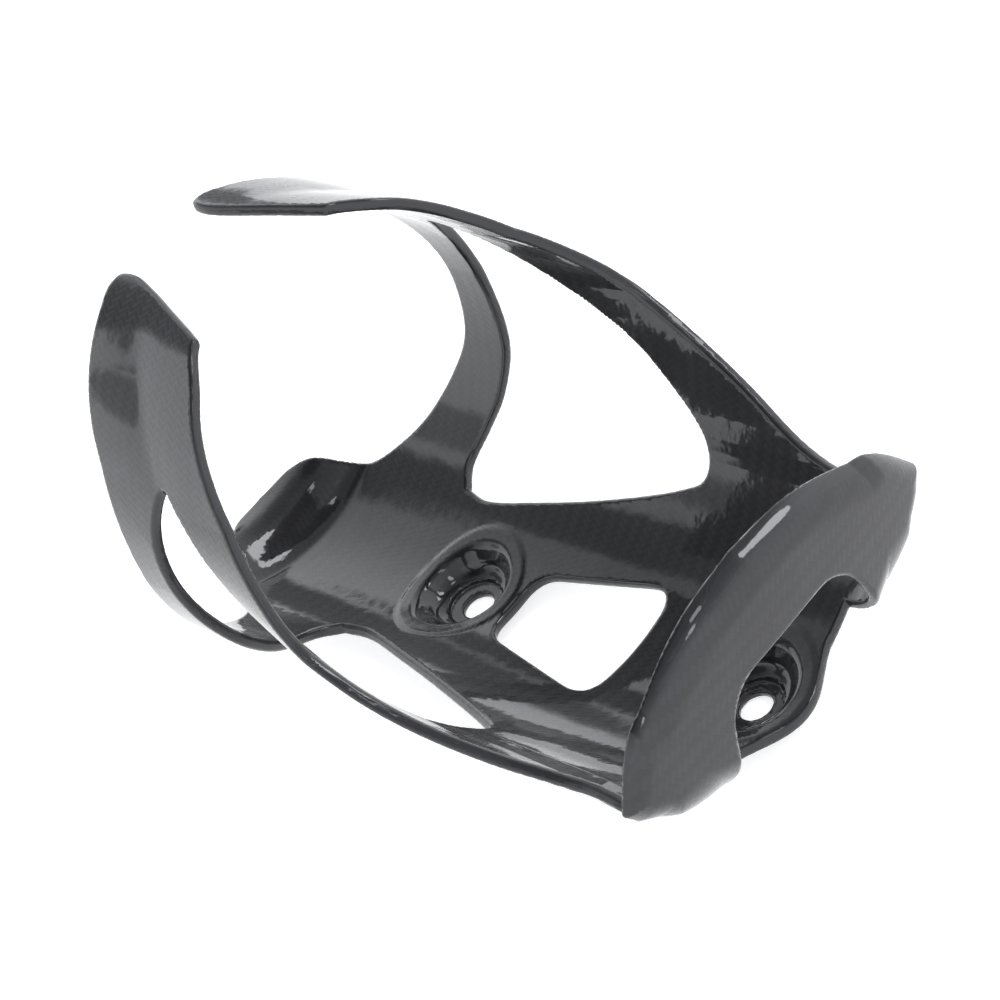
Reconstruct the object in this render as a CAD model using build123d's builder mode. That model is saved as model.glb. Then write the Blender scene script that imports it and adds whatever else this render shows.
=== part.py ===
from build123d import *
import os
from math import cos, radians, sin, sqrt

# Water bottle cage: a moulded carbon shell that hugs a standard 73 mm bottle.
#
# Row frame, in millimetres. X runs across the cage, Y along the bottle towards its neck, and Z
# away from the bicycle frame. The origin is the middle of the bolt line on the mounting face, so
# the bolts are at Y = +/-32 and the bottle's axis is the line X = 0, Z = AXIS_Z.
# Angles are in degrees round the bottle's axis, from the middle of the back plate.

# Driving dimensions
BOLT_PITCH = 64.0
HOLE_R = 2.75
INNER_R = 36.5
WALL = 2.0
CUP_DEPTH = 3.0

AXIS_Z = INNER_R + WALL + CUP_DEPTH
PLATE_Z = AXIS_Z - INNER_R
BOLT_Y = BOLT_PITCH / 2

# Inner radius of the wall at heights along the bottle. The back plate stays INNER_R from the
# axis at its middle all the way, so a larger ring has its centre further from the plate.
RINGS = [(-52, 38.4), (-30, 38.6), (-8, 39.3), (8, 38.4), (24, 37.4), (42, 37.0), (90, 37.0)]
LENGTH = RINGS[-1][0] - RINGS[0][0]

# Heights along the bottle
NECK_SEAM_Y = 71.0
NECK_SAG = 2.5
NECK_TOP_Y = 85.5
FOOT_SEAM_Y = -40.0
LIP_Y = -46.0
FOOT_Y = -50.8

# Angles round the bottle. The plate's outline runs past the arms' roots, where a wedge ends it.
NECK_ANGLE = 26.0
ROOT_ANGLE = 56.0
PAST_ROOT = ROOT_ANGLE + 5
FOOT_ANGLE = 59.0
FORK_ANGLE = 120.0

# Fork where the two strands of an arm join
FORK_Y = 36.5
FORK_BOTTOM_Y = 18.3
FORK_TOP_Y = 51.2

# Window between the bolts: half width and height of its two ends, with their corner radii
WIDE_END = (13.0, -9.2, 6.0)
NARROW_END = (7.0, 21.2, 4.0)

# Inward step of the neck tab, which clicks into the groove of the bottle
NECK_STEP = 6.0

# Recess for each bolt head. The upper one is longer towards the neck.
FLOOR_R = 6.4
FLOOR_OUTER_R = 7.8
MOUTH_R = 10.5
MOUTH_Z = PLATE_Z + 3.0
MOUTH_SHIFT = 2.0

# Shelf under the bottle
SHELF_BEND = 6.4
CUT_BEND = 3.0

# Longer than the cage reaches from its axis, for cutting shapes
REACH = 60.0


def ring(height):
    """Inner radius of the wall at a height, and how far its centre lies beyond the axis."""
    for (low, low_r), (high, high_r) in zip(RINGS, RINGS[1:]):
        if height <= high:
            radius = low_r + (high_r - low_r) * (height - low) / (high - low)
            return radius, radius - INNER_R
    return RINGS[-1][1], RINGS[-1][1] - INNER_R


def spot(angle, height):
    """Middle of the wall at an angle round the bottle's axis: its X and its Z."""
    radius, beyond = ring(height)
    turn = radians(angle)
    reach = sqrt(radius**2 - (beyond * sin(turn)) ** 2) - beyond * cos(turn) + WALL / 2
    return reach * sin(turn), AXIS_Z - reach * cos(turn)


def front(angle, height):
    """Point of the wall as seen along Z, as (X, Y)."""
    return (spot(angle, height)[0], height)


def side(angle, height):
    """Point of the wall as seen along X, as (Y, Z)."""
    return (height, spot(angle, height)[1])


def fronts(*places):
    """Edge of the wall through (angle, height) places, as seen along Z."""
    return [front(*place) for place in places]


def sides(*places):
    """Edge of the wall through (angle, height) places, as seen along X."""
    return [side(*place) for place in places]


def mirrored(points):
    """Same points on the other side of the Y axis."""
    return [(-x, y) for x, y in points]


def outline(plane, edges):
    """Flat shape inside a closed ring of edges, each a list of points."""
    with BuildSketch(plane) as shape:
        with BuildLine():
            for points in edges:
                if len(points) == 2:
                    Line(*points)
                else:
                    Spline(points)
        make_face()
    return shape.sketch


def wedge(from_angle, to_angle):
    """Section of a wedge that opens from the bottle's axis between two angles."""
    far = 2 * REACH
    steps = [from_angle, (from_angle + to_angle) / 2, to_angle]
    rim = [(far * sin(radians(a)), AXIS_Z - far * cos(radians(a))) for a in steps]
    with BuildSketch(Plane.XZ.offset(-RINGS[-1][0])) as section:
        Polygon((0, AXIS_Z), *rim, align=None)
    return section.sketch


def round_solid(extra):
    """Solid inside the wall, or inside its outer face when extra is the wall's thickness."""
    with BuildPart() as body:
        for height, radius in RINGS:
            with BuildSketch(Plane.XZ.offset(-height)):
                with Locations((0, AXIS_Z + radius - INNER_R)):
                    Circle(radius + extra)
        loft()
    return body.part


def recess(bolt_y, shift, floor_z, floor_r, mouth_r):
    """Sloping cone of a bolt recess, from its floor to inside the plate."""
    with BuildPart() as cone:
        with BuildSketch(Plane.XY.offset(floor_z)):
            with Locations((0, bolt_y)):
                Circle(floor_r)
        with BuildSketch(Plane.XY.offset(MOUTH_Z)):
            with Locations((0, bolt_y + shift)):
                Circle(mouth_r)
        loft()
    return cone.part


def finish(piece, name):
    """Labels a finished piece and writes it."""
    piece.label = name
    export_step(piece, f"parts/{name}.step")


os.makedirs("parts", exist_ok=True)

bottle_space = round_solid(0)
with BuildPart() as shell:
    add(round_solid(WALL))
    add(bottle_space, mode=Mode.SUBTRACT)

# Back plate: outline of its right half, from the neck down to the foot
NECK_RIGHT = front(NECK_ANGLE, NECK_SEAM_Y)
NECK_EDGE = [mirrored([NECK_RIGHT])[0], (0, NECK_SEAM_Y + NECK_SAG), NECK_RIGHT]
PLATE_EDGES = [
    fronts((NECK_ANGLE, NECK_SEAM_Y), (33, 66), (42, 61), (50, 57.6), (PAST_ROOT, 53.4)),
    fronts((PAST_ROOT, 53.4), (PAST_ROOT, 42)),
    fronts((PAST_ROOT, 42), (51, 43.8), (43, 46), (33, 48), (27, 46.6)),
    fronts((27, 46.6), (25, 41), (28, 29.5), (34, 13.8), (42, -1.5)),
    fronts((42, -1.5), (46, -5.8), (51, -6.6), (PAST_ROOT, -3)),
    fronts((PAST_ROOT, -3), (PAST_ROOT, FOOT_SEAM_Y)),
]
SEAM_EDGE = fronts((-PAST_ROOT, FOOT_SEAM_Y), (PAST_ROOT, FOOT_SEAM_Y))
BACK_EDGES = PLATE_EDGES + [mirrored(points) for points in PLATE_EDGES] + [NECK_EDGE, SEAM_EDGE]

cups = {}
for name, bolt_y, shift in (("upper_bolt_cup", BOLT_Y, MOUTH_SHIFT), ("lower_bolt_cup", -BOLT_Y, 0)):
    outside = recess(bolt_y, shift, 0, FLOOR_OUTER_R, MOUTH_R + WALL)
    inside = recess(bolt_y, shift, WALL, FLOOR_R, MOUTH_R)
    cups[name] = (bolt_y, outside, inside)

with BuildPart() as back_plate:
    add(shell.part)
    extrude(wedge(-ROOT_ANGLE, ROOT_ANGLE), amount=LENGTH, mode=Mode.INTERSECT)
    extrude(outline(Plane.XY, BACK_EDGES), amount=REACH, mode=Mode.INTERSECT)
    with BuildSketch() as window:
        (wide_x, wide_y, wide_bend), (narrow_x, narrow_y, narrow_bend) = WIDE_END, NARROW_END
        low_end = [(-wide_x, wide_y), (wide_x, wide_y)]
        high_end = [(narrow_x, narrow_y), (-narrow_x, narrow_y)]
        Polygon(*low_end, *high_end, align=None)
        fillet(window.vertices().group_by(Axis.Y)[0], radius=wide_bend)
        fillet(window.vertices().group_by(Axis.Y)[-1], radius=narrow_bend)
    extrude(amount=REACH, mode=Mode.SUBTRACT)
    for bolt_y, outside, inside in cups.values():
        add(outside, mode=Mode.SUBTRACT)
finish(back_plate.part, "back_plate")

# Bolt cups: sunk below the plate, so that only their floors touch the bicycle frame
for name, (bolt_y, outside, inside) in cups.items():
    with BuildPart() as bolt_cup:
        add(outside)
        add(inside, mode=Mode.SUBTRACT)
        with Locations((0, bolt_y, 0)):
            Cylinder(HOLE_R, 3 * WALL, mode=Mode.SUBTRACT)
        add(bottle_space, mode=Mode.SUBTRACT)
    finish(bolt_cup.part, name)

# Neck tab: the wall steps in towards the bottle and ends in a rounded tongue
NECK_PROFILE = [
    (NECK_SEAM_Y - 1, PLATE_Z),
    (NECK_SEAM_Y + 2.4, PLATE_Z + 0.2),
    (NECK_SEAM_Y + 7.5, PLATE_Z + 4.4),
    (NECK_SEAM_Y + 11, PLATE_Z + NECK_STEP),
    (NECK_TOP_Y, PLATE_Z + NECK_STEP),
]
NECK_SIDE = [NECK_RIGHT, (13.5, 76.0), (10.8, 80.5), (7.0, 84.2), (0, NECK_TOP_Y)]
NECK_CENTRE_Z = AXIS_Z + RINGS[-1][1] - INNER_R
with BuildPart() as neck_tab:
    with BuildSketch(Plane.YZ):
        with BuildLine():
            inner = Spline(NECK_PROFILE)
            outer = Spline([(y, z - WALL) for y, z in NECK_PROFILE])
            Line(inner @ 0, outer @ 0)
            Line(inner @ 1, outer @ 1)
        make_face()
    revolve(axis=Axis((0, 0, NECK_CENTRE_Z), (0, 1, 0)), revolution_arc=360)
    neck_edges = [NECK_SIDE, mirrored(NECK_SIDE), NECK_EDGE]
    extrude(outline(Plane.XY, neck_edges), amount=AXIS_Z, mode=Mode.INTERSECT)
finish(neck_tab.part, "neck_tab")

# Shelf under the bottle: a shallow tray with a rolled front lip, open at the back round the bolt
FOOT_R, FOOT_BEYOND = ring(FOOT_SEAM_Y)
CORNER_X = (FOOT_R + WALL) * sin(radians(FOOT_ANGLE))
CORNER_Z = AXIS_Z + FOOT_BEYOND - (FOOT_R + WALL) * cos(radians(FOOT_ANGLE))
SHELF_FRONT = [
    (0, AXIS_Z - 0.8),
    (12, AXIS_Z - 2.2),
    (21, AXIS_Z - 5.6),
    (29, AXIS_Z - 11.0),
    (CORNER_X, CORNER_Z),
]
CUT_RIGHT = [(15.8, 0), (15.8, 18.5), (14.2, 22), (10.5, 25.3)]
CORNER_SIDE = fronts((ROOT_ANGLE, FOOT_SEAM_Y), (57.5, -43), (FOOT_ANGLE + 6, LIP_Y - 1))
FOOT_CORNERS = [(REACH, FOOT_Y), (-REACH, FOOT_Y)]
SHELF_EDGES = [
    CORNER_SIDE,
    [CORNER_SIDE[-1], FOOT_CORNERS[0]],
    FOOT_CORNERS,
    [FOOT_CORNERS[1], mirrored(CORNER_SIDE)[-1]],
    mirrored(CORNER_SIDE),
    [mirrored(CORNER_SIDE)[0], CORNER_SIDE[0]],
]
with BuildPart() as foot_shelf:
    with BuildSketch(Plane.XZ.offset(-FOOT_SEAM_Y)):
        with BuildLine():
            centre = (0, AXIS_Z + FOOT_BEYOND)
            CenterArc(centre, FOOT_R + WALL, -90 - FOOT_ANGLE, 2 * FOOT_ANGLE)
            Spline(SHELF_FRONT)
            Spline(mirrored(SHELF_FRONT))
        make_face()
    extrude(amount=FOOT_SEAM_Y - FOOT_Y)
    fillet(foot_shelf.faces().sort_by(Axis.Y)[0].edges(), radius=SHELF_BEND)
    offset(amount=-WALL, openings=foot_shelf.faces().sort_by(Axis.Y)[-1])
    # in front of the corners only a low lip is left of the tray's rim
    with BuildSketch(Plane.XZ.offset(-FOOT_SEAM_Y)):
        with Locations((0, CORNER_Z + REACH / 2)):
            Rectangle(2 * REACH, REACH)
    extrude(amount=FOOT_SEAM_Y - LIP_Y, mode=Mode.SUBTRACT)
    with BuildSketch(Plane.XZ.offset(-FOOT_SEAM_Y)) as cut:
        Polygon(*CUT_RIGHT, *reversed(mirrored(CUT_RIGHT)), align=None)
        fillet(cut.vertices().group_by(Axis.Y)[-1], radius=CUT_BEND)
    extrude(amount=FOOT_SEAM_Y - FOOT_Y, mode=Mode.SUBTRACT)
    # the two side edges lean in to meet the plate
    extrude(outline(Plane.XY, SHELF_EDGES), amount=REACH, mode=Mode.INTERSECT)
finish(foot_shelf.part, "foot_shelf")

# Edges of the right arm's two strands, from the back plate round to the fork
UPPER_EDGES = [
    sides((ROOT_ANGLE, 55.2), (67, 51.4), (80, 50), (100, 49.7), (FORK_ANGLE, FORK_TOP_Y)),
    sides((ROOT_ANGLE, 42.8), (67, 41.3), (84, 42), (104, 42), (114, 40.2), (FORK_ANGLE, FORK_Y)),
    sides((FORK_ANGLE, FORK_Y), (FORK_ANGLE, FORK_TOP_Y)),
    sides((ROOT_ANGLE, 55.2), (ROOT_ANGLE, 42.8)),
]
LOWER_OUTER = [(ROOT_ANGLE, -33), (61, -23.5), (70, -13.5), (80, -3.2), (92, 6.8), (106, 15)]
LOWER_INNER = [(ROOT_ANGLE, -5.2), (67, -0.1), (78, 7.2), (88, 17.6), (105, 28.3), (115, 33.2)]
LOWER_EDGES = [
    sides(*LOWER_OUTER, (FORK_ANGLE, FORK_BOTTOM_Y)),
    sides(*LOWER_INNER, (FORK_ANGLE, FORK_Y)),
    sides((FORK_ANGLE, FORK_Y), (FORK_ANGLE, FORK_BOTTOM_Y)),
    sides(LOWER_OUTER[0], LOWER_INNER[0]),
]

# Edges of its tip, a blade with a rounded toe towards the neck of the bottle
TOE = (167.5, 55.5)
HEEL = (155, 32.4)
TIP_EDGES = [
    fronts((FORK_ANGLE, FORK_BOTTOM_Y), (FORK_ANGLE, FORK_TOP_Y)),
    fronts((FORK_ANGLE, FORK_TOP_Y), (130, 52.9), (144, 55.8), (157, 58.6), (163, 59.4)),
    fronts((163, 59.4), (166.6, 58.6), TOE),
    fronts(TOE, (165.6, 50.4), (162.4, 44), (157.4, 34.6)),
    fronts((157.4, 34.6), (156.6, 33.2), HEEL),
    fronts(HEEL, (145, 27.6), (132, 22.6), (FORK_ANGLE, FORK_BOTTOM_Y)),
]

for hand in ("right", "left"):
    for name, edges in (("upper_strand", UPPER_EDGES), ("lower_strand", LOWER_EDGES)):
        with BuildPart() as strand:
            add(shell.part)
            extrude(wedge(ROOT_ANGLE, FORK_ANGLE), amount=LENGTH, mode=Mode.INTERSECT)
            extrude(outline(Plane.YZ, edges), amount=REACH, mode=Mode.INTERSECT)
            if hand == "left":
                mirror(about=Plane.YZ, mode=Mode.REPLACE)
        finish(strand.part, f"{hand}_{name}")

    with BuildPart() as arm_tip:
        add(shell.part)
        extrude(wedge(FORK_ANGLE, 180), amount=LENGTH, mode=Mode.INTERSECT)
        extrude(outline(Plane.XY.offset(AXIS_Z), TIP_EDGES), amount=REACH, mode=Mode.INTERSECT)
        if hand == "left":
            mirror(about=Plane.YZ, mode=Mode.REPLACE)
    finish(arm_tip.part, f"{hand}_arm_tip")
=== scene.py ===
from math import asin, cos, degrees, pi, radians, sin

import bmesh
import bpy
import numpy as np
from mathutils import Matrix, Vector


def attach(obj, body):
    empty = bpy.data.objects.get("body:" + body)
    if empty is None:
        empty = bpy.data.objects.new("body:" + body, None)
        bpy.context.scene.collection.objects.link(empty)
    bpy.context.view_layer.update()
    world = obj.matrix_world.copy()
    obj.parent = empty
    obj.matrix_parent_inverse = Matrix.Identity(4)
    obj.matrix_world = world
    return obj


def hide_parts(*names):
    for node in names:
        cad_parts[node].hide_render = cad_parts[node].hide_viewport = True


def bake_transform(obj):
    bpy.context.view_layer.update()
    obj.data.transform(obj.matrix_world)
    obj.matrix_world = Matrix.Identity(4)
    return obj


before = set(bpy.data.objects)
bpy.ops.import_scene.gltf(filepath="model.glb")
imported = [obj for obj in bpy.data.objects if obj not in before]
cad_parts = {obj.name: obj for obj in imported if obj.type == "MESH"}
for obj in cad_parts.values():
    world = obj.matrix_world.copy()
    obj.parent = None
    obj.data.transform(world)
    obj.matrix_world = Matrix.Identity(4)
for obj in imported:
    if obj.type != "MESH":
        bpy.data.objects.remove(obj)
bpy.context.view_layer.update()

# Water bottle cage in moulded carbon. The shell is worked out as a solid in millimetres, with
# rounded edges and soft fillets, turned into a mesh, and split where the arms flex.
# Angles are in degrees round the bottle's axis, from the middle of the back plate.

MM = 0.001

# The sheet: its thickness, the rounding of its cut edges, and how far they lie outside the outlines
WALL = 2.0
EDGE_R = 0.7
EDGE_OUT = 0.25

# The bottle's axis and the inner radius at the back plate, then the inner radius of the whole ring
# by height. Where the ring is wider it grows forwards, and its back stays in place.
AXIS_Z = 41.5
INNER_R = 36.5
FOOT_R = 38.6
RINGS = [(-52, 38.4), (-30, FOOT_R), (-8, 39.3), (8, 38.4), (24, 37.4), (42, 37.0), (90, 37.0)]

# Lengths along the wall are measured at one radius: ARC is the length of a degree
MEAN_R = 38.0
ARC = MEAN_R * pi / 180

# Bolt cups: cones that widen forwards, with a seat sunk into the floor round the hole. CONE_SCALE
# turns a distance along the radius into one across the cone, near enough for both slopes.
BOLT_Y = 32.0
HOLE_R = 2.75
SEAT_R, SEAT_DEPTH, SEAT_BEND = 4.9, 0.7, 0.3
CUP_DEPTH = 8.0
CUP_OUTER_R, CUP_OUTER_SLOPE, CUP_OUTER_BEND = 7.8, 0.59, 1.2
CUP_INNER_R, CUP_INNER_SLOPE, CUP_INNER_BEND = 6.4, 0.68, 1.6
CONE_SCALE = 0.84
CUP_EDGE, MOUTH_EDGE, CUP_FILLET = 0.4, 0.45, 0.8

# Round tongue of the back plate, about the lower bolt
TONGUE_R, TONGUE_FILLET = 11.7, 3.0

# Shelf under the bottle: its lowest height, the heights that its lip and its sides reach, how far
# forwards its sides run, the dish of its floor, and its bends
FOOT_Y = -50.8
LIP_Y = -46.0
FOOT_TOP_Y = -38.0
SIDE_TOP_Z = 26.0
SHELF_MIDDLE_Z = 28.0
SHELF_DISH = 0.002
SHELF_BENDS = {"back": 10.0, "front": 6.0, "corner": 4.0}
FRONT_BEND, SIDE_BEND, LIP_FILLET, CUT_EDGE = 1.4, 2.0, 2.5, 0.5

# Arms: where they leave the back, the lowest height that belongs to them, and the stretch that bends
ROOT_ANGLE = 56.0
ARM_LOW_Y = -40.0
FLEX_START = 57.0

GRID = 0.55
MARGIN = 3 * GRID
TOUCH = 1e-4


# ---------------------------------------------------------------- flat shapes


def curve(points, steps=8):
    """Smooth line through points (a centripetal Catmull-Rom spline)."""
    pts = np.array(points, float)
    first = 2 * pts[0] - pts[1]
    last = 2 * pts[-1] - pts[-2]
    pts = np.vstack([first, pts, last])
    line = [pts[1]]
    for a, b, c, d in zip(pts, pts[1:], pts[2:], pts[3:]):
        ta = 0.0
        tb = ta + np.linalg.norm(b - a) ** 0.5
        tc = tb + np.linalg.norm(c - b) ** 0.5
        td = tc + np.linalg.norm(d - c) ** 0.5
        for t in np.linspace(tb, tc, steps + 1)[1:]:
            ab = a + (b - a) * (t - ta) / (tb - ta)
            bc = b + (c - b) * (t - tb) / (tc - tb)
            cd = c + (d - c) * (t - tc) / (td - tc)
            abc = ab + (bc - ab) * (t - ta) / (tc - ta)
            bcd = bc + (cd - bc) * (t - tb) / (td - tb)
            line.append(abc + (bcd - abc) * (t - tb) / (tc - tb))
    return np.array(line)


def rounded(corners, bends, steps=6):
    """Closed outline with its corners rounded, each by its own bend."""
    corners = [np.array(c, float) for c in corners]
    line = []
    for i, (corner, bend) in enumerate(zip(corners, bends)):
        back = corners[i - 1] - corner
        on = corners[(i + 1) % len(corners)] - corner
        start = corner + back / np.linalg.norm(back) * bend
        end = corner + on / np.linalg.norm(on) * bend
        for t in np.linspace(0, 1, steps + 1):
            line.append((1 - t) ** 2 * start + 2 * t * (1 - t) * corner + t**2 * end)
    return np.array(line)


class Flat:
    """Signed distance to flat outlines, negative inside, tabulated on a grid."""

    def __init__(self, loops, low, high, step=0.3):
        self.low = np.array(low, float)
        self.step = step
        count = [int(np.ceil((h - l) / step)) + 2 for l, h in zip(low, high)]
        u = low[0] + step * np.arange(count[0])[:, None]
        v = low[1] + step * np.arange(count[1])[None, :]
        near = np.full(count, 1e9)
        inside = np.zeros(count, bool)
        for loop in loops:
            for (au, av), (bu, bv) in zip(loop, np.roll(loop, -1, axis=0)):
                du, dv = bu - au, bv - av
                square = du * du + dv * dv
                if square < 1e-12:
                    continue
                t = np.clip(((u - au) * du + (v - av) * dv) / square, 0, 1)
                near = np.minimum(near, (u - au - t * du) ** 2 + (v - av - t * dv) ** 2)
                if av != bv:
                    crosses = (av > v) != (bv > v)
                    inside ^= crosses & (u < au + (v - av) * du / dv)
        self.table = np.sqrt(near) * np.where(inside, -1, 1)

    def __call__(self, u, v):
        shape = self.table.shape
        fu = np.clip((u - self.low[0]) / self.step, 0, shape[0] - 1.001)
        fv = np.clip((v - self.low[1]) / self.step, 0, shape[1] - 1.001)
        iu, iv = fu.astype(int), fv.astype(int)
        fu, fv = fu - iu, fv - iv
        t = self.table
        low = t[iu, iv] * (1 - fv) + t[iu, iv + 1] * fv
        high = t[iu + 1, iv] * (1 - fv) + t[iu + 1, iv + 1] * fv
        return low * (1 - fu) + high * fu


def both(half):
    """Closed outline from its right half, which runs from the middle back to the middle."""
    half = np.array(half)
    return np.vstack([half, (half * (-1, 1))[::-1]])


def arc(points):
    """Places given as (angle, height), as lengths along the wall."""
    return [(angle * ARC, height) for angle, height in points]


# ---------------------------------------------------------------- outlines

NECK = [(0, 85.5), (12.8, 84.2), (19.7, 80.5), (22.7, 76), (26, 71)]
SHOULDER = [(33, 66), (42, 61), (50, 57.6), (56, 55.2), (67, 51.4), (80, 50), (100, 49.7)]
TIP_TOP = [(120, 52.4), (130, 54.9), (140, 57.2), (150, 59.0), (158, 60.2), (163, 60.9)]
TOE = [(166.6, 60.0), (167.4, 56.5), (165.0, 50.4), (161.6, 44), (157.0, 35.6)]
HEEL = [(156.0, 34.4), (153.8, 33.8), (145, 30.2), (135, 27.6), (125, 24.3), (115, 20.0), (106, 15.5)]
UNDERSIDE = [(92, 6.8), (80, -3.2), (70, -13.5), (61, -23.5), (56.6, -33), (ROOT_ANGLE, -40)]
CUT_X = 18.0
CUT_ANGLE = degrees(asin(CUT_X / FOOT_R))
PLATE_END = [(ROOT_ANGLE, -44), (46, -43.5), (36, -42), (CUT_ANGLE, -40), (0, -40)]
OUTER = np.vstack([curve(arc(NECK + SHOULDER + TIP_TOP + TOE + HEEL + UNDERSIDE)), arc(PLATE_END)])

WINDOW_UPPER = [(26.5, 46.2), (33, 47.9), (43, 46), (51, 43.8), (56, 42.8), (67, 41.3), (84, 42)]
WINDOW_FORK = [(100, 41.6), (112, 39.6), (120, 36.3)]
WINDOW_LOWER = [(115, 33), (105, 27.4), (95, 20.6), (87, 14.6), (80, 9.6), (70, 3.7), (62, -1.4)]
WINDOW_BACK = [(56, -5.2), (51, -6.6), (46, -5.8), (42.4, -1.5), (34.7, 13.8), (28.5, 29.5), (25, 41)]
ARM_WINDOW = curve(arc(WINDOW_UPPER + WINDOW_FORK + WINDOW_LOWER + WINDOW_BACK + WINDOW_UPPER[:1]))

# Window between the bolts: how far out its lower and upper corners are, as lengths along the wall
MID_R = INNER_R + WALL / 2
LOW_END = asin(12.6 / MID_R) * MID_R
HIGH_END = asin(7.0 / MID_R) * MID_R
BOLT_WINDOW = rounded(
    [(-LOW_END, -7.6), (LOW_END, -7.6), (HIGH_END, 21.2), (-HIGH_END, 21.2)],
    [5.5, 5.5, 4.5, 4.5],
)
wall_outline = Flat(
    [both(OUTER), ARM_WINDOW, BOLT_WINDOW],
    (-2, FOOT_Y - 4),
    (180 * ARC, 92),
)

SHELF_FRONT = [(0, 40.8), (12, 39.5), (21, 36.4), (29.7, 31.5), (36.3, 23.5), (47, 8)]
front_line = np.vstack([curve(SHELF_FRONT), [(47, -30), (0, -30)]])
shelf_front = Flat([both(front_line)], (-2, -8), (48, 48))
CUT = [(CUT_X, -12), (CUT_X, 8), (15.8, 17.5), (14.2, 22), (10.5, 25.5)]
CUT_BENDS = [0.1, 3.5, 1.8, 1.8, 3]
cut_corners = [(-x, z) for x, z in CUT] + CUT[::-1]
shelf_cut = Flat([rounded(cut_corners, CUT_BENDS + CUT_BENDS[::-1])], (-2, -8), (48, 48))


# ---------------------------------------------------------------- the solid


def smooth_table(places, spread, low=-70.0, high=110.0, step=0.5):
    """Heights and values of a line through places, softened along the bottle."""
    heights = np.arange(low, high, step)
    known, values = zip(*places)
    line = np.interp(heights, known, values)
    reach = int(4 * spread / step)
    weights = np.exp(-0.5 * (np.arange(-reach, reach + 1) * step / spread) ** 2)
    padded = np.pad(line, reach, mode="edge")
    return heights, np.convolve(padded, weights / weights.sum(), mode="valid")


RING_TABLE = smooth_table(RINGS, 4.0)

# How far the plate steps in towards the bottle, by height
NECK_RISE = [(72.6, 0.0), (74.5, 1.1), (78.5, 4.6), (80.8, 5.8), (82.5, 6.0)]
NECK_TABLE = smooth_table(NECK_RISE, 0.6)
NECK_SLOPE = np.gradient(NECK_TABLE[1], NECK_TABLE[0])

# Soft crease along each arm, from the fork to its tip: its height on the arm, and how far it is
# pressed in towards the bottle
CREASE_LINE = [(100, 30), (120, 37), (135, 42), (150, 47), (165, 52)]
CREASE_DEPTH = [(104, 0), (120, 0.55), (145, 0.55), (160, 0.1)]
CREASE_WIDTH, CREASE_BEND = 5.0, 2.5

# How far the wall of an arm sits outside the plain ring, along its lower edge, along the lower
# edge of its window, and along its upper strand
LOWER_LIFT = [(52, 0), (57, 0.8), (62, 1.0), (72, 1.0), (90, 1.2), (97, 0.6), (105, -0.5), (115, -1.6)]
LOWER_LIFT += [(125, -1.6), (140, -1.2)]
MIDDLE_LIFT = [(54, 0), (62, 0.5), (75, 0), (85, -0.7), (105, -1.0), (135, -1.1)]
UPPER_LIFT = [(54, 0), (90, -0.1), (105, -0.6), (120, -1.1)]
LOWER_EDGE = sorted((HEEL + UNDERSIDE)[1:-1])
MIDDLE_EDGE = sorted(WINDOW_LOWER) + [(120, 36.5), (160, 45)]
UPPER_EDGE = [(54, 44), (84, 42), (104, 42), (120, 52), (160, 58)]

# The same at the foot, beside the shelf, fading in by angle and out by height
FOOT_LIFT = 0.7
FOOT_LIFT_ANGLES = (35, 57)
FOOT_LIFT_HEIGHTS = (-45, -36)


def meet(a, b, bend):
    """Intersection of two solids with its edge rounded."""
    a, b = a + bend, b + bend
    return np.minimum(np.maximum(a, b), 0) + np.hypot(np.maximum(a, 0), np.maximum(b, 0)) - bend


def join(a, b, bend):
    """Union of two solids with a fillet between them."""
    return -meet(-a, -b, bend)


def cut(a, b, bend):
    """First solid without the second, with its edge rounded."""
    return meet(a, -b, bend)


def bolt_cup(x, y, z, bolt_y, shift):
    """Outside and inside of a recess for a bolt head, whose mouth is shifted upwards, and its hole."""
    away = y - bolt_y - shift * np.clip(z, 0, CUP_DEPTH) / CUP_DEPTH
    r = np.hypot(x, away)
    outer_cone = (r - CUP_OUTER_R - z * CUP_OUTER_SLOPE) * CONE_SCALE
    outside = meet(-z, outer_cone, CUP_OUTER_BEND)
    outside = np.maximum(outside, z - (CUP_DEPTH + 1))
    inner_cone = (r - CUP_INNER_R - (z - WALL) * CUP_INNER_SLOPE) * CONE_SCALE
    inside = meet(WALL - z, inner_cone, CUP_INNER_BEND)
    inside = np.maximum(inside, z - (CUP_DEPTH + 2))
    seat = meet(WALL - SEAT_DEPTH - z, r - SEAT_R, SEAT_BEND)
    hole = np.hypot(x, y - bolt_y) - HOLE_R
    return outside, np.minimum(inside, seat), hole


def along(angle, table):
    """Value at an angle of a line through (angle, value) places."""
    return np.interp(angle, *zip(*table))


def arm_lift(angle, y):
    """How far the wall of an arm sits outside the plain ring."""
    low, middle, high = (along(angle, edge) for edge in (LOWER_EDGE, MIDDLE_EDGE, UPPER_EDGE))
    first, second, third = (along(angle, lift) for lift in (LOWER_LIFT, MIDDLE_LIFT, UPPER_LIFT))
    t = np.clip((y - low) / (middle - low), 0, 1)
    u = np.clip((y - middle) / np.maximum(high - middle, 1), 0, 1)
    foot = FOOT_LIFT * np.interp(angle, FOOT_LIFT_ANGLES, (0, 1)) * np.interp(y, FOOT_LIFT_HEIGHTS, (1, 0))
    off_crease = np.hypot(y - along(angle, CREASE_LINE), CREASE_BEND) - CREASE_BEND
    crease = along(angle, CREASE_DEPTH) * np.exp(-off_crease / CREASE_WIDTH)
    return first + (second - first) * t + (third - second) * u + foot - crease


def shelf_bend(x, z):
    """Radius of the bend round the shelf: soft at the back, tighter at the rim and the corners."""
    rim = np.interp(z, (10, 24), (SHELF_BENDS["back"], SHELF_BENDS["front"]))
    corner = np.interp(x, (19, 28), (SHELF_BENDS["back"], SHELF_BENDS["corner"]))
    return np.minimum(rim, corner)


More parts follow.
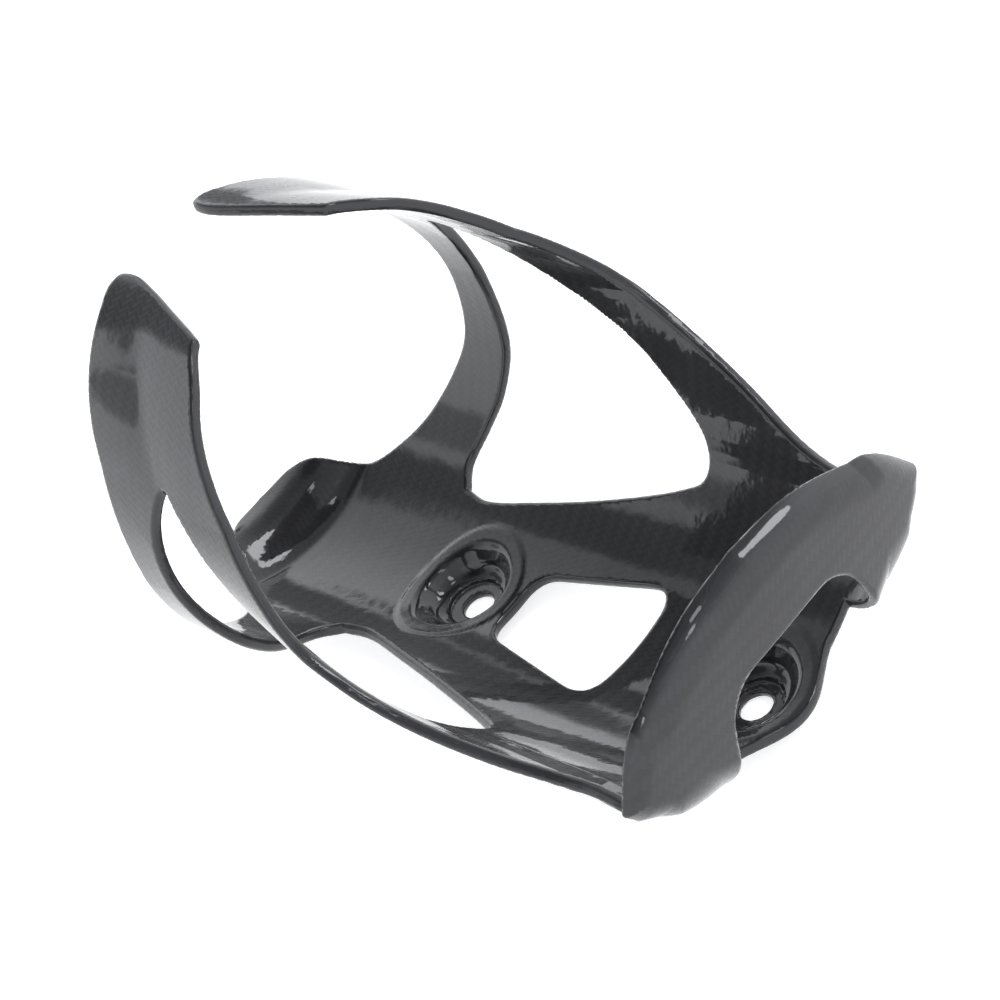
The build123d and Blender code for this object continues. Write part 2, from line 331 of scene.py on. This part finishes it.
def shelf(x, y, z, out, angle):
    """Signed distance to the shelf: a tray with a rolled rim, open at the back."""
    plan = meet(out - WALL, shelf_front(x, z), FRONT_BEND)
    floor = FOOT_Y + SHELF_DISH * (x**2 + (z - SHELF_MIDDLE_Z) ** 2)
    tray = meet(plan, floor - y, shelf_bend(x, z))
    side = meet((angle - ROOT_ANGLE) * ARC, z - SIDE_TOP_Z, SIDE_BEND)
    keep = join(side, y - LIP_Y, LIP_FILLET)
    keep = np.maximum(keep, y - FOOT_TOP_Y)
    keep = cut(keep, shelf_cut(x, z), CUT_EDGE)
    return meet(np.abs(tray + WALL / 2) - WALL / 2, keep, EDGE_R)


def cage(p):
    """Signed distance to the surface of the cage, in millimetres."""
    x, y, z = np.abs(p[..., 0]), p[..., 1], p[..., 2]
    radius = np.interp(y, *RING_TABLE)
    beyond = radius - INNER_R
    out = np.hypot(x, z - AXIS_Z - beyond) - radius
    angle = np.degrees(np.arctan2(x, AXIS_Z - z))
    out = out - arm_lift(angle, y)
    rise = np.interp(y, *NECK_TABLE)
    slope = np.interp(y, NECK_TABLE[0], NECK_SLOPE)
    sheet = np.abs((out - WALL / 2 + rise) / np.sqrt(1 + slope**2)) - WALL / 2

    edge = wall_outline(angle * ARC, y)
    tongue = np.hypot(angle * ARC, y + BOLT_Y) - TONGUE_R
    edge = join(edge, tongue, TONGUE_FILLET) - EDGE_OUT
    wall = meet(sheet, edge, EDGE_R)

    shell = np.minimum(wall, shelf(x, y, z, out, angle))

    for bolt_y, shift in ((BOLT_Y, 2.0), (-BOLT_Y, 0.0)):
        outside, inside, hole = bolt_cup(x, y, z, bolt_y, shift)
        cup = cut(meet(outside, -out, CUP_EDGE), inside, CUP_EDGE)
        shell = cut(shell, inside, MOUTH_EDGE)
        shell = join(shell, cup, CUP_FILLET)
        shell = cut(shell, hole, CUP_EDGE)
    return shell


def gradient(solid, p, step=0.02):
    """Direction in which the distance grows fastest."""
    parts = []
    for axis in range(3):
        move = np.zeros(3)
        move[axis] = step
        parts.append(solid(p + move) - solid(p - move))
    return np.stack(parts, -1) / (2 * step)


CORNERS = [(i, j, k) for i in (0, 1) for j in (0, 1) for k in (0, 1)]


def sampled(solid, low, count, step):
    """Distances at the points of a grid."""
    xs, ys, zs = (l + step * np.arange(c) for l, c in zip(low, count))
    grid = np.empty(count, np.float32)
    plane = np.stack(np.meshgrid(ys, zs, indexing="ij"), -1)
    for i, x in enumerate(xs):
        p = np.concatenate([np.full(plane.shape[:2] + (1,), x), plane], -1)
        grid[i] = solid(p)
    return grid


def crossed_cells(inside):
    """Places of the cells that the surface runs through, and a table with their numbers."""
    cells = np.array(inside.shape) - 1
    filled = np.zeros(cells, np.uint8)
    for i, j, k in CORNERS:
        filled += inside[i : cells[0] + i, j : cells[1] + j, k : cells[2] + k]
    active = (filled > 0) & (filled < 8)
    index = np.full(cells, -1)
    index[active] = np.arange(active.sum())
    return np.argwhere(active), index


def cell_points(grid, places):
    """A point in each cell: the mean of where the surface crosses the cell's edges, in grid steps."""
    total = np.zeros(places.shape)
    crossings = np.zeros(len(places))
    for a in CORNERS:
        for axis in range(3):
            if a[axis]:
                continue
            b = list(a)
            b[axis] = 1
            value_a = grid[tuple((places + a).T)]
            value_b = grid[tuple((places + b).T)]
            crosses = (value_a < 0) != (value_b < 0)
            gap = np.where(crosses, value_a - value_b, 1)
            spot = np.array(a, float)[None, :].repeat(len(places), 0)
            spot[:, axis] += np.where(crosses, value_a / gap, 0)
            total += spot * crosses[:, None]
            crossings += crosses
    return places + total / crossings[:, None]


def cell_quads(inside, index):
    """A quad round each edge of the grid that the surface crosses, facing outwards."""
    quads = []
    for axis in range(3):
        u, v = (axis + 1) % 3, (axis + 2) % 3
        ahead = [slice(None)] * 3
        behind = [slice(None)] * 3
        ahead[axis], behind[axis] = slice(1, None), slice(None, -1)
        crosses = np.argwhere(inside[tuple(behind)] != inside[tuple(ahead)])
        crosses = crosses[(crosses[:, u] > 0) & (crosses[:, v] > 0)]
        outward = inside[tuple(crosses.T)]
        steps_u, steps_v = np.zeros(3, int), np.zeros(3, int)
        steps_u[u], steps_v[v] = 1, 1
        ring = [crosses - steps_u - steps_v, crosses - steps_v, crosses, crosses - steps_u]
        quad = np.stack([index[tuple(cell.T)] for cell in ring], -1)
        quads.append(np.where(outward[:, None], quad, quad[:, ::-1]))
    return np.vstack(quads)


def settled(solid, points, rounds=3, reach=0.4):
    """Points moved onto the surface, by no more than the reach in each round."""
    for turn in range(rounds):
        slope = gradient(solid, points)
        square = np.maximum((slope**2).sum(-1), 0.25)
        shift = solid(points) / square
        points = points - slope * np.clip(shift, -reach, reach)[:, None]
    return points


def surface(solid, low, high, step):
    """Points and quads of the surface of a solid, one point in each cell that it crosses."""
    count = [int(np.ceil((h - l) / step)) + 1 for l, h in zip(low, high)]
    grid = sampled(solid, low, count, step)
    inside = grid < 0
    places, index = crossed_cells(inside)
    points = np.array(low) + step * cell_points(grid, places)
    return settled(solid, points), cell_quads(inside, index)


# Box of the grid. It has no column of points at x = 0, so that both sides get the same mesh.
REACH_X, TOP_Y, LOW_Z, HIGH_Z = 41.0, 86.0, 0.0, 81.0
columns = int(np.ceil((REACH_X + MARGIN) / GRID)) + 0.5
low_corner = (-columns * GRID, FOOT_Y - MARGIN, LOW_Z - MARGIN)
high_corner = (columns * GRID, TOP_Y + MARGIN, HIGH_Z + MARGIN)
points, quads = surface(cage, low_corner, high_corner, GRID)


# ---------------------------------------------------------------- pieces

# The weave of the shelf's level faces starts this far from that of the wall; a face is level when
# its normal has at least this much of Y
SHELF_WEAVE_SHIFT = 90.0
LEVEL = 0.7

# How far past the sheet's thickness a cut edge is looked for, and the depth over which it fades in
TRIM_LOOK = 0.5
TRIM_FADE = 0.4


def cut_plane(side):
    """Point and direction of the plane across an arm's roots."""
    turn = radians(FLEX_START)
    across = Vector((side * cos(turn), 0, sin(turn)))
    return Vector((0, 0, AXIS_Z)), across


def on_arm(point, side):
    """Whether a point of the shell is past the plane across an arm's roots."""
    origin, across = cut_plane(side)
    return point.y > ARM_LOW_Y and point.x * side > 0 and (point - origin).dot(across) > -TOUCH


def finished(bm, name):
    """Object from a mesh in millimetres, with the true normals and weave coordinates."""
    mesh = bpy.data.meshes.new(name)
    bm.to_mesh(mesh)
    bm.free()
    count = len(mesh.vertices)
    spots = np.empty(count * 3)
    mesh.vertices.foreach_get("co", spots)
    spots = spots.reshape(-1, 3)
    normals = gradient(cage, spots)
    normals /= np.linalg.norm(normals, axis=1)[:, None]
    for face in mesh.polygons:
        face.use_smooth = True
    add_weave_map(mesh, spots, normals)
    add_trim(mesh, spots, normals)
    mesh.transform(Matrix.Scale(MM, 4))
    mesh.normals_split_custom_set_from_vertices(normals.tolist())
    piece = bpy.data.objects.new(name, mesh)
    bpy.context.scene.collection.objects.link(piece)
    return piece


def add_weave_map(mesh, spots, normals):
    """Lengths along the sheet in both directions, as the map that the weave follows."""
    angle = np.arctan2(spots[:, 0], AXIS_Z - spots[:, 2])
    on_wall = np.stack([angle * MEAN_R, spots[:, 1]], 1)
    on_shelf = np.stack([spots[:, 0], spots[:, 2] - SHELF_WEAVE_SHIFT], 1)
    loops = np.empty(len(mesh.loops), int)
    mesh.loops.foreach_get("vertex_index", loops)
    level = np.abs(normals[:, 1]) > LEVEL
    level &= spots[:, 1] < FOOT_TOP_Y
    lengths = np.where(level[:, None], on_shelf, on_wall)
    layer = mesh.uv_layers.new(name="weave")
    layer.data.foreach_set("uv", lengths[loops].astype(np.float32).ravel())


def add_trim(mesh, spots, normals):
    """Marks the cut edges of the sheet: there is more than its thickness behind them."""
    behind = cage(spots - normals * (WALL + TRIM_LOOK))
    layer = mesh.attributes.new("trim", "FLOAT", "POINT")
    layer.data.foreach_set("value", np.clip(-behind / TRIM_FADE, 0, 1).astype(np.float32))


def shell_mesh(points, quads):
    """The whole shell as one mesh, in millimetres."""
    bm = bmesh.new()
    for point in points:
        bm.verts.new(point)
    bm.verts.ensure_lookup_table()
    for quad in quads:
        bm.faces.new([bm.verts[i] for i in quad])
    return bm


def split_at_roots(bm, side):
    """Splits the faces that the plane across an arm's roots runs through."""
    origin, across = cut_plane(side)
    faces = [f for f in bm.faces if f.calc_center_median().y > ARM_LOW_Y]
    faces = [f for f in faces if f.calc_center_median().x * side > 0]
    rim = {e for f in faces for e in f.edges}
    ends = {v for f in faces for v in f.verts}
    bmesh.ops.bisect_plane(
        bm,
        geom=faces + list(rim) + list(ends),
        dist=TOUCH,
        plane_co=origin,
        plane_no=across,
    )


def part_of(whole, keep):
    """Copy of the whole shell with only the faces that belong, closed where it was cut."""
    bm = whole.copy()
    dropped = [f for f in bm.faces if not keep(f.calc_center_median())]
    bmesh.ops.delete(bm, geom=dropped, context="FACES")
    open_edges = [e for e in bm.edges if len(e.link_faces) == 1]
    bmesh.ops.edgeloop_fill(bm, edges=open_edges)
    bmesh.ops.recalc_face_normals(bm, faces=bm.faces)
    return bm


whole = shell_mesh(points, quads)
split_at_roots(whole, 1)
split_at_roots(whole, -1)
right_arm = finished(part_of(whole, lambda c: on_arm(c, 1)), "right_arm_loop")
left_arm = finished(part_of(whole, lambda c: on_arm(c, -1)), "left_arm_loop")
back = finished(part_of(whole, lambda c: not on_arm(c, 1) and not on_arm(c, -1)), "back_shell")
whole.free()

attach(back, "frame_side")
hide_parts("back_plate", "neck_tab", "foot_shelf", "upper_bolt_cup", "lower_bolt_cup")
for piece, hand, side in ((right_arm, "right", 1), (left_arm, "left", -1)):
    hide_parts(f"{hand}_upper_strand", f"{hand}_lower_strand", f"{hand}_arm_tip")
    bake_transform(piece)


# ---------------------------------------------------------------- carbon

# Tows of the weave, in millimetres: how wide they are, how far they wander and how quickly
TOW_WIDTH = 0.95
TOW_WANDER, WANDER_SCALE = 1.6, 0.11
# Colours of the warp and the weft tows. The warp is lighter than the weft, and lightest along the crowns
# of its tows. This is painted sheen, standing in for the way tows in the two directions reflect light
# differently.
WARP_COLOUR_PAINTED_SHEEN = (0.0125, 0.0128, 0.0152)
WEFT_COLOUR_PAINTED_SHEEN = (0.0082, 0.0084, 0.0102)
TRIM_COLOUR = (0.022, 0.022, 0.025)

# Bumps, each as a height in metres and a strength: of the fibres, and of the coat's waves and grain
FIBRE_BUMP = (0.0001, 0.25)
WAVE_BUMP = (0.0016, 0.06)
GRAIN_BUMP = (0.0001, 0.12)


class Nodes:
    """Short way to build a node tree."""

    def __init__(self, tree):
        self.tree = tree
        tree.nodes.clear()

    def add(self, kind, **inputs):
        node = self.tree.nodes.new(kind)
        for name, value in inputs.items():
            self.feed(node.inputs[name.replace("_", " ")], value)
        return node

    def feed(self, socket, value):
        if isinstance(value, bpy.types.NodeSocket):
            self.tree.links.new(value, socket)
        else:
            socket.default_value = value

    def math(self, operation, a, b=0.0, c=0.0):
        node = self.tree.nodes.new("ShaderNodeMath")
        node.operation = operation
        for socket, value in zip(node.inputs, (a, b, c)):
            self.feed(socket, value)
        return node.outputs[0]

    def vector(self, operation, a, b):
        node = self.tree.nodes.new("ShaderNodeVectorMath")
        node.operation = operation
        self.feed(node.inputs[0], a)
        self.feed(node.inputs[1], b)
        return node.outputs["Value" if operation == "DOT_PRODUCT" else "Vector"]

    def ramp(self, value, low, high, start=0.0, end=1.0):
        """Smooth step of a value from start at low to end at high."""
        node = self.tree.nodes.new("ShaderNodeMapRange")
        node.interpolation_type = "SMOOTHSTEP"
        for socket, given in zip(node.inputs, (value, low, high, start, end)):
            self.feed(socket, given)
        return node.outputs[0]

    def mix(self, share, a, b):
        node = self.tree.nodes.new("ShaderNodeMix")
        node.data_type = "RGBA"
        for socket, given in zip((node.inputs[0], node.inputs[6], node.inputs[7]), (share, a, b)):
            self.feed(socket, given)
        return node.outputs[2]

    def noise(self, place, scale, detail=2.0, rough=0.5):
        node = self.add("ShaderNodeTexNoise", Vector=place, Scale=scale, Detail=detail, Roughness=rough)
        return node.outputs[0]

    def bump(self, height, distance, strength=1.0, normal=None):
        node = self.add("ShaderNodeBump", Height=height, Distance=distance, Strength=strength)
        if normal:
            self.feed(node.inputs["Normal"], normal)
        return node.outputs[0]


def twill(n):
    """Two-by-two twill on the bias: which tow is on top, and how high its surface is."""
    lengths = n.add("ShaderNodeUVMap")
    lengths.uv_map = "weave"
    wobble = n.add("ShaderNodeTexNoise", Vector=lengths.outputs[0], Scale=WANDER_SCALE, Detail=1.0)
    shift = n.vector("SUBTRACT", wobble.outputs[1], (0.5, 0.5, 0.5))
    shift = n.vector("MULTIPLY", shift, (TOW_WANDER, TOW_WANDER, 0))
    split = n.add("ShaderNodeSeparateXYZ", Vector=n.vector("ADD", lengths.outputs[0], shift))
    scale = 1 / (TOW_WIDTH * 2**0.5)
    along = n.math("MULTIPLY", n.math("ADD", split.outputs[0], split.outputs[1]), scale)
    across = n.math("MULTIPLY", n.math("SUBTRACT", split.outputs[0], split.outputs[1]), scale)
    step = n.math("SUBTRACT", n.math("FLOOR", along), n.math("FLOOR", across))
    warp = n.math("LESS_THAN", n.math("FLOORED_MODULO", step, 4.0), 1.5)
    crowns = []
    for place in (along, across):
        off_centre = n.math("SUBTRACT", n.math("FRACT", place), 0.5)
        crowns.append(n.math("SUBTRACT", 1.0, n.math("POWER", n.math("MULTIPLY", off_centre, 2.0), 4.0)))
    rise = n.math("MULTIPLY", warp, n.math("SUBTRACT", crowns[1], crowns[0]))
    return warp, n.math("ADD", crowns[0], rise)


def carbon():
    """Woven carbon under a glossy, slightly wavy clear coat, with painted sheen on the weave in its
    colour.
    """
    material = bpy.data.materials.new("carbon")
    material.use_nodes = True
    n = Nodes(material.node_tree)
    place = n.add("ShaderNodeTexCoord").outputs["Object"]
    warp, crown = twill(n)
    trim = n.add("ShaderNodeAttribute")
    trim.attribute_name = "trim"
    trim = trim.outputs["Fac"]
    # Painted sheen: warp tows are lighter than weft tows, and lightest along their crowns
    weave = n.mix(n.math("MULTIPLY", warp, crown), (*WEFT_COLOUR_PAINTED_SHEEN, 1), (*WARP_COLOUR_PAINTED_SHEEN, 1))
    clouds = n.ramp(n.noise(place, 90.0, 3.0), 0.3, 0.7, 0.75, 1.25)
    shade = n.add("ShaderNodeCombineXYZ", X=clouds, Y=clouds, Z=clouds).outputs[0]
    tinted = n.vector("MULTIPLY", weave, shade)
    colour = n.mix(trim, tinted, (*TRIM_COLOUR, 1))
    fibres = n.bump(crown, *FIBRE_BUMP)
    lacquer = n.bump(n.noise(place, 110.0, 2.0), *WAVE_BUMP)
    lacquer = n.bump(n.noise(place, 700.0, 1.0), *GRAIN_BUMP, lacquer)
    shader = n.add(
        "ShaderNodeBsdfPrincipled",
        Base_Color=colour,
        Roughness=n.math("ADD", 0.36, n.math("MULTIPLY", trim, 0.2)),
        Specular_IOR_Level=0.12,
        Normal=fibres,
        Coat_Weight=n.ramp(trim, 0.0, 1.0, 1.0, 0.7),
        Coat_Roughness=0.055,
        Coat_IOR=1.5,
        Coat_Normal=lacquer,
    )
    n.add("ShaderNodeOutputMaterial", Surface=shader.outputs[0])
    return material


CARBON = carbon()
for piece in (back, right_arm, left_arm):
    piece.data.materials.append(CARBON)


# ---------------------------------------------------------------- floor, light and camera

# Studio round the object: how bright its walls and its ceiling are, and where one fades into the
# other, as sines of the angle above the floor. Then single dark screens and small lamps, as
# (direction, height, half width, soft edge, brightness), with the angles in degrees.
WALL_GLOW, CEILING_GLOW = 1.7, 0.45
WALL_TOP, CEILING_START = 0.45, 0.95
STUDIO_TINT = (0.95, 0.962, 1.0)
SCREENS = [
    (-20, 43, 6, 4, 0.3),
    (-35, 27, 5, 4, 0.7),
    (-6, 35, 6, 4, 0.3),
    (41, 11, 5, 4, 0.25),
    (43, 24, 4, 3, 0.2),
    (-72, 70, 16, 6, 0.15),
]
LAMPS = [(118, 46, 8, 1.5, 9.0), (168, 66, 3.5, 1.5, 5.0), (-178, 52, 3, 1.5, 6.0)]

# Camera of the photograph: its place in millimetres, and where its right, its top and its back point
LENS, SENSOR_WIDTH = 103.78, 36
CAMERA_PLACE = Vector((-163.576, -314.065, 297.415))
CAMERA_RIGHT = Vector((0.62100, -0.66245, -0.41895))
CAMERA_UP = Vector((0.69204, 0.21242, 0.68990))
CAMERA_BACK = Vector((-0.36803, -0.71836, 0.59035))


def toward(azimuth, height):
    """Direction at an angle round from +Y towards +X, and an angle above the floor."""
    a, h = radians(azimuth), radians(height)
    return Vector((sin(a) * cos(h), cos(a) * cos(h), sin(h)))


def studio():
    """Soft surroundings for the reflections; the camera itself sees plain white."""
    world = bpy.data.worlds.new("studio")
    world.use_nodes = True
    n = Nodes(world.node_tree)
    direction = n.add("ShaderNodeTexCoord").outputs["Generated"]
    height = n.add("ShaderNodeSeparateXYZ", Vector=direction).outputs[2]
    glow = n.ramp(height, WALL_TOP, CEILING_START, WALL_GLOW, CEILING_GLOW)
    for azimuth, elevation, half, soft, bright in SCREENS + LAMPS:
        near = n.vector("DOT_PRODUCT", direction, tuple(toward(azimuth, elevation)))
        inside = n.ramp(near, cos(radians(half + soft)), cos(radians(half)))
        change = n.math("MULTIPLY", inside, n.math("SUBTRACT", bright, glow))
        glow = n.math("ADD", glow, change)
    seen = n.add("ShaderNodeLightPath").outputs["Is Camera Ray"]
    glow = n.math("ADD", n.math("MULTIPLY", glow, n.math("SUBTRACT", 1.0, seen)), seen)
    tint = n.mix(seen, (*STUDIO_TINT, 1), (1, 1, 1, 1))
    background = n.add("ShaderNodeBackground", Color=tint, Strength=glow)
    n.add("ShaderNodeOutputWorld", Surface=background.outputs[0])
    return world


def floor_card(half):
    """Square white floor that glows a little, so that it stays white under the object."""
    mesh = bpy.data.meshes.new("floor")
    corners = [(-half, -half, 0), (half, -half, 0), (half, half, 0), (-half, half, 0)]
    mesh.from_pydata(corners, [], [(0, 1, 2, 3)])
    material = bpy.data.materials.new("floor")
    material.use_nodes = True
    n = Nodes(material.node_tree)
    shader = n.add(
        "ShaderNodeBsdfPrincipled",
        Base_Color=(0.8, 0.8, 0.8, 1),
        Roughness=0.9,
        Emission_Color=(1, 1, 1, 1),
        Emission_Strength=0.65,
    )
    n.add("ShaderNodeOutputMaterial", Surface=shader.outputs[0])
    mesh.materials.append(material)
    floor = bpy.data.objects.new("floor", mesh)
    bpy.context.scene.collection.objects.link(floor)


def photo_camera():
    """Camera in the place of the one that took the photograph."""
    data = bpy.data.cameras.new("camera")
    data.lens = LENS
    data.sensor_width = SENSOR_WIDTH
    camera = bpy.data.objects.new("camera", data)
    bpy.context.scene.collection.objects.link(camera)
    turned = Matrix((CAMERA_RIGHT, CAMERA_UP, CAMERA_BACK)).transposed().to_4x4()
    camera.matrix_world = Matrix.Translation(CAMERA_PLACE * MM) @ turned
    return camera


floor_card(3.0)
bpy.context.scene.world = studio()
bpy.context.scene.camera = photo_camera()
bpy.context.scene.view_settings.view_transform = "Standard"

bpy.context.view_layer.update()
